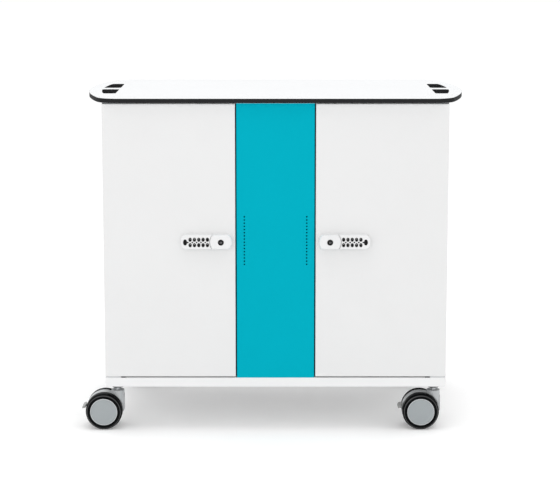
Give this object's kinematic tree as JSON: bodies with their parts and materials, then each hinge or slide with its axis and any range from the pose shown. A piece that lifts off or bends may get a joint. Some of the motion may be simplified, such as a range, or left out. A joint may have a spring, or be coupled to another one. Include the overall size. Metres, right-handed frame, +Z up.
{
  "type": "laptop charging cart",
  "caption": "White wheeled cabinet with a bowed worktop, paired doors with keypad locks beside a teal vented panel, shelved laptop bays inside and braked twin-wheel castors.",
  "frame": {"origin": "on the floor, under the middle of the cart", "axes": "+X to the right seen from the front, +Y to the back, +Z up; the doors face -Y"},
  "size_m": [1.046, 0.588, 0.91],
  "materials": {
    "white_board": "white melamine on board",
    "shelf_board": "white melamine on thin board",
    "teal_board": "teal melamine on board",
    "compact_laminate": "white faces on a black laminate core",
    "hinge_steel": "zinc plated",
    "cam_steel": "zinc plated",
    "plate_steel": "zinc plated",
    "lock_white": "satin white moulding",
    "key_black": "matt black silicone",
    "plug_black": "black plated",
    "castor_grey": "grey nylon",
    "wheel_grey": "grey nylon",
    "tyre_black": "soft black tread",
    "rest_black": "black rubber",
    "unit_grey": "dark grey housing",
    "inlet_black": "black moulding"
  },
  "bodies": {
    "carcass": {"worktop": "compact_laminate", "base_panel": "white_board", "side_panels": "white_board", "door_rests": "rest_black", "back_panel": "white_board", "centre_panel": "teal_board", "partitions": "white_board", "shelves": "shelf_board", "hinge_plates": "hinge_steel", "charging_unit": "unit_grey", "power_inlet": "inlet_black", "castor_mounts": "plate_steel"},
    "left_door": {"left_door": "white_board", "left_hinge_leaves": "hinge_steel", "left_keypad_housing": "lock_white"},
    "left_handle": {"left_lock_handle": "lock_white", "left_lock_cam": "cam_steel"},
    "left_plug": {"left_key_plug": "plug_black"},
    "left_button_1": {"left_key_1": "key_black"},
    "left_button_3": {"left_key_3": "key_black"},
    "left_button_5": {"left_key_5": "key_black"},
    "left_button_7": {"left_key_7": "key_black"},
    "left_button_9": {"left_key_9": "key_black"},
    "left_button_2": {"left_key_2": "key_black"},
    "left_button_4": {"left_key_4": "key_black"},
    "left_button_6": {"left_key_6": "key_black"},
    "left_button_8": {"left_key_8": "key_black"},
    "left_button_0": {"left_key_0": "key_black"},
    "left_button_clear": {"left_key_clear": "key_black"},
    "right_door": {"right_door": "white_board", "right_hinge_leaves": "hinge_steel", "right_keypad_housing": "lock_white"},
    "right_handle": {"right_lock_handle": "lock_white", "right_lock_cam": "cam_steel"},
    "right_plug": {"right_key_plug": "plug_black"},
    "right_button_1": {"right_key_1": "key_black"},
    "right_button_3": {"right_key_3": "key_black"},
    "right_button_5": {"right_key_5": "key_black"},
    "right_button_7": {"right_key_7": "key_black"},
    "right_button_9": {"right_key_9": "key_black"},
    "right_button_2": {"right_key_2": "key_black"},
    "right_button_4": {"right_key_4": "key_black"},
    "right_button_6": {"right_key_6": "key_black"},
    "right_button_8": {"right_key_8": "key_black"},
    "right_button_0": {"right_key_0": "key_black"},
    "right_button_clear": {"right_key_clear": "key_black"},
    "front_left_swivel": {"front_left_castor_hood": "castor_grey"},
    "front_left_wheels": {"front_left_tyres": "tyre_black", "front_left_wheel_centres": "wheel_grey"},
    "front_left_pedal": {"front_left_brake_pedal": "castor_grey"},
    "front_right_swivel": {"front_right_castor_hood": "castor_grey"},
    "front_right_wheels": {"front_right_tyres": "tyre_black", "front_right_wheel_centres": "wheel_grey"},
    "front_right_pedal": {"front_right_brake_pedal": "castor_grey"},
    "rear_left_swivel": {"rear_left_castor_hood": "castor_grey"},
    "rear_left_wheels": {"rear_left_tyres": "tyre_black", "rear_left_wheel_centres": "wheel_grey"},
    "rear_right_swivel": {"rear_right_castor_hood": "castor_grey"},
    "rear_right_wheels": {"rear_right_tyres": "tyre_black", "rear_right_wheel_centres": "wheel_grey"}
  },
  "joints": [
    {"name": "left_door_hinge", "type": "hinge", "parent": "carcass", "child": "left_door", "pos_m": [-0.454, -0.268, 0.5245], "axis": [0, 0, -1], "range_deg": [0, 180]},
    {"name": "left_handle_turn", "type": "hinge", "parent": "left_door", "child": "left_handle", "pos_m": [-0.1455, -0.275, 0.5265], "axis": [0, -1, 0], "range_deg": [0, 90]},
    {"name": "left_key_turn", "type": "hinge", "parent": "left_handle", "child": "left_plug", "pos_m": [-0.1455, -0.29, 0.5265], "axis": [0, -1, 0], "range_deg": [0, 90]},
    {"name": "left_press_1", "type": "slide", "parent": "left_door", "child": "left_button_1", "axis": [0, 1, 0], "range_m": [0, 0.0012], "stiffness_N_per_m": 800},
    {"name": "left_press_3", "type": "slide", "parent": "left_door", "child": "left_button_3", "axis": [0, 1, 0], "range_m": [0, 0.0012], "stiffness_N_per_m": 800},
    {"name": "left_press_5", "type": "slide", "parent": "left_door", "child": "left_button_5", "axis": [0, 1, 0], "range_m": [0, 0.0012], "stiffness_N_per_m": 800},
    {"name": "left_press_7", "type": "slide", "parent": "left_door", "child": "left_button_7", "axis": [0, 1, 0], "range_m": [0, 0.0012], "stiffness_N_per_m": 800},
    {"name": "left_press_9", "type": "slide", "parent": "left_door", "child": "left_button_9", "axis": [0, 1, 0], "range_m": [0, 0.0012], "stiffness_N_per_m": 800},
    {"name": "left_press_2", "type": "slide", "parent": "left_door", "child": "left_button_2", "axis": [0, 1, 0], "range_m": [0, 0.0012], "stiffness_N_per_m": 800},
    {"name": "left_press_4", "type": "slide", "parent": "left_door", "child": "left_button_4", "axis": [0, 1, 0], "range_m": [0, 0.0012], "stiffness_N_per_m": 800},
    {"name": "left_press_6", "type": "slide", "parent": "left_door", "child": "left_button_6", "axis": [0, 1, 0], "range_m": [0, 0.0012], "stiffness_N_per_m": 800},
    {"name": "left_press_8", "type": "slide", "parent": "left_door", "child": "left_button_8", "axis": [0, 1, 0], "range_m": [0, 0.0012], "stiffness_N_per_m": 800},
    {"name": "left_press_0", "type": "slide", "parent": "left_door", "child": "left_button_0", "axis": [0, 1, 0], "range_m": [0, 0.0012], "stiffness_N_per_m": 800},
    {"name": "left_press_clear", "type": "slide", "parent": "left_door", "child": "left_button_clear", "axis": [0, 1, 0], "range_m": [0, 0.0012], "stiffness_N_per_m": 800},
    {"name": "right_door_hinge", "type": "hinge", "parent": "carcass", "child": "right_door", "pos_m": [0.454, -0.268, 0.5245], "axis": [0, 0, 1], "range_deg": [0, 180]},
    {"name": "right_handle_turn", "type": "hinge", "parent": "right_door", "child": "right_handle", "pos_m": [0.1455, -0.275, 0.5265], "axis": [0, 1, 0], "range_deg": [0, 90]},
    {"name": "right_key_turn", "type": "hinge", "parent": "right_handle", "child": "right_plug", "pos_m": [0.1455, -0.29, 0.5265], "axis": [0, 1, 0], "range_deg": [0, 90]},
    {"name": "right_press_1", "type": "slide", "parent": "right_door", "child": "right_button_1", "axis": [0, 1, 0], "range_m": [0, 0.0012], "stiffness_N_per_m": 800},
    {"name": "right_press_3", "type": "slide", "parent": "right_door", "child": "right_button_3", "axis": [0, 1, 0], "range_m": [0, 0.0012], "stiffness_N_per_m": 800},
    {"name": "right_press_5", "type": "slide", "parent": "right_door", "child": "right_button_5", "axis": [0, 1, 0], "range_m": [0, 0.0012], "stiffness_N_per_m": 800},
    {"name": "right_press_7", "type": "slide", "parent": "right_door", "child": "right_button_7", "axis": [0, 1, 0], "range_m": [0, 0.0012], "stiffness_N_per_m": 800},
    {"name": "right_press_9", "type": "slide", "parent": "right_door", "child": "right_button_9", "axis": [0, 1, 0], "range_m": [0, 0.0012], "stiffness_N_per_m": 800},
    {"name": "right_press_2", "type": "slide", "parent": "right_door", "child": "right_button_2", "axis": [0, 1, 0], "range_m": [0, 0.0012], "stiffness_N_per_m": 800},
    {"name": "right_press_4", "type": "slide", "parent": "right_door", "child": "right_button_4", "axis": [0, 1, 0], "range_m": [0, 0.0012], "stiffness_N_per_m": 800},
    {"name": "right_press_6", "type": "slide", "parent": "right_door", "child": "right_button_6", "axis": [0, 1, 0], "range_m": [0, 0.0012], "stiffness_N_per_m": 800},
    {"name": "right_press_8", "type": "slide", "parent": "right_door", "child": "right_button_8", "axis": [0, 1, 0], "range_m": [0, 0.0012], "stiffness_N_per_m": 800},
    {"name": "right_press_0", "type": "slide", "parent": "right_door", "child": "right_button_0", "axis": [0, 1, 0], "range_m": [0, 0.0012], "stiffness_N_per_m": 800},
    {"name": "right_press_clear", "type": "slide", "parent": "right_door", "child": "right_button_clear", "axis": [0, 1, 0], "range_m": [0, 0.0012], "stiffness_N_per_m": 800},
    {"name": "front_left_swivel_turn", "type": "hinge", "parent": "carcass", "child": "front_left_swivel", "pos_m": [-0.432, -0.219, 0.104], "axis": [0, 0, 1], "continuous": true},
    {"name": "front_left_wheel_spin", "type": "hinge", "parent": "front_left_swivel", "child": "front_left_wheels", "pos_m": [-0.468, -0.219, 0.05], "axis": [0, 1, 0], "continuous": true},
    {"name": "front_left_pedal_press", "type": "hinge", "parent": "front_left_swivel", "child": "front_left_pedal", "pos_m": [-0.504, -0.219, 0.064], "axis": [0, -1, 0], "range_deg": [0, 10]},
    {"name": "front_right_swivel_turn", "type": "hinge", "parent": "carcass", "child": "front_right_swivel", "pos_m": [0.432, -0.219, 0.104], "axis": [0, 0, 1], "continuous": true},
    {"name": "front_right_wheel_spin", "type": "hinge", "parent": "front_right_swivel", "child": "front_right_wheels", "pos_m": [0.396, -0.219, 0.05], "axis": [0, 1, 0], "continuous": true},
    {"name": "front_right_pedal_press", "type": "hinge", "parent": "front_right_swivel", "child": "front_right_pedal", "pos_m": [0.36, -0.219, 0.064], "axis": [0, -1, 0], "range_deg": [0, 10]},
    {"name": "rear_left_swivel_turn", "type": "hinge", "parent": "carcass", "child": "rear_left_swivel", "pos_m": [-0.432, 0.239, 0.104], "axis": [0, 0, 1], "continuous": true},
    {"name": "rear_left_wheel_spin", "type": "hinge", "parent": "rear_left_swivel", "child": "rear_left_wheels", "pos_m": [-0.396, 0.239, 0.05], "axis": [0, 1, 0], "continuous": true},
    {"name": "rear_right_swivel_turn", "type": "hinge", "parent": "carcass", "child": "rear_right_swivel", "pos_m": [0.432, 0.239, 0.104], "axis": [0, 0, 1], "continuous": true},
    {"name": "rear_right_wheel_spin", "type": "hinge", "parent": "rear_right_swivel", "child": "rear_right_wheels", "pos_m": [0.396, 0.239, 0.05], "axis": [0, 1, 0], "continuous": true}
  ]
}
